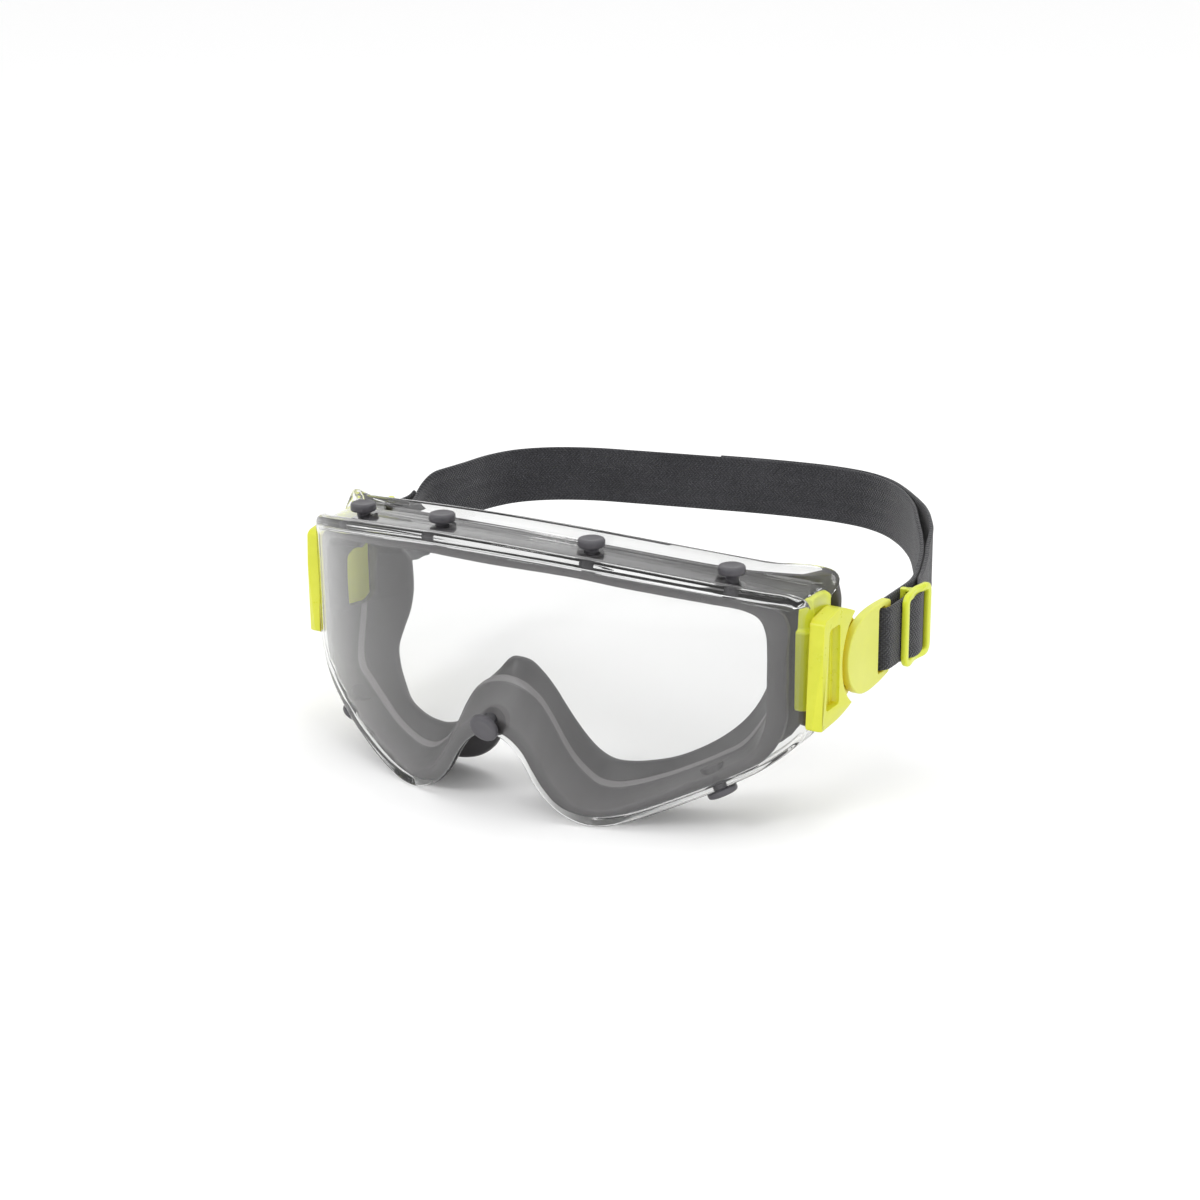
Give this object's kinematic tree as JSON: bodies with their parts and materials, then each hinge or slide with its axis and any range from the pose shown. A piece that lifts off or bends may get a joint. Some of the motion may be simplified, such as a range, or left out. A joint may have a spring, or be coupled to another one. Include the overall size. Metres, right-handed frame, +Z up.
{
  "type": "safety goggles",
  "caption": "Wide-view safety goggles: clear curved visor on a soft grey face frame, swivelling side clips, sliders and an elastic head strap.",
  "frame": {"origin": "point on the mid-plane between the wearer's eyes, 20 mm behind the crown of the visor, where the frame meets the bridge of the nose and brow", "axes": "+X to the side (the wearer's left, as worn), +Y from the visor back towards the head, +Z up"},
  "size_m": [0.2026, 0.1975, 0.087],
  "materials": {
    "visor_clear": "clear polished polycarbonate",
    "frame_rubber": "soft satin moulded elastomer",
    "plug_rubber": "satin moulded elastomer",
    "anchor_plastic": "satin moulded plastic",
    "housing_plastic": "semi-gloss moulded plastic",
    "pin_plastic": "satin moulded plastic",
    "clip_plastic": "fine matte moulded plastic",
    "slider_plastic": "semi-gloss moulded plastic",
    "strap_webbing": "woven elastic webbing"
  },
  "bodies": {
    "goggles": {"visor_lens": "visor_clear", "face_frame": "frame_rubber", "plug_top_outer_left": "plug_rubber", "plug_top_inner_left": "plug_rubber", "plug_top_inner_right": "plug_rubber", "plug_top_outer_right": "plug_rubber", "plug_nose": "plug_rubber", "plug_bottom_left": "plug_rubber", "plug_bottom_right": "plug_rubber", "side_anchor_left": "anchor_plastic", "side_anchor_right": "anchor_plastic", "buckle_housing_left": "housing_plastic", "buckle_housing_right": "housing_plastic", "pivot_pin_left": "pin_plastic", "pivot_pin_right": "pin_plastic"},
    "strap": {"head_strap": "strap_webbing"},
    "clip_left": {"strap_clip_left": "clip_plastic"},
    "clip_right": {"strap_clip_right": "clip_plastic"},
    "slider_left": {"strap_slider_left": "slider_plastic"},
    "slider_right": {"strap_slider_right": "slider_plastic"}
  },
  "joints": [
    {"name": "strap_swivel", "type": "hinge", "parent": "goggles", "child": "strap", "pos_m": [0, 0.0464, -0.0005], "axis": [1, 0, 0], "range_deg": [-25, 25]},
    {"name": "clip_left_swivel", "type": "hinge", "parent": "goggles", "child": "clip_left", "pos_m": [-0.0926, 0.0464, -0.0005], "axis": [1, 0, 0], "range_deg": [-25, 25]},
    {"name": "clip_right_swivel", "type": "hinge", "parent": "goggles", "child": "clip_right", "pos_m": [0.0926, 0.0464, -0.0005], "axis": [1, 0, 0], "range_deg": [-25, 25]},
    {"name": "slider_left_slide", "type": "slide", "parent": "strap", "child": "slider_left", "axis": [-0.309, 0.9511, 0], "range_m": [-0.002, 0.004]},
    {"name": "slider_right_slide", "type": "slide", "parent": "strap", "child": "slider_right", "axis": [0, 1, 0], "range_m": [-0.004, 0.004]}
  ],
  "couplings": [
    {"joint": "clip_left_swivel", "follows": "strap_swivel", "ratio": 1},
    {"joint": "clip_right_swivel", "follows": "strap_swivel", "ratio": 1}
  ]
}
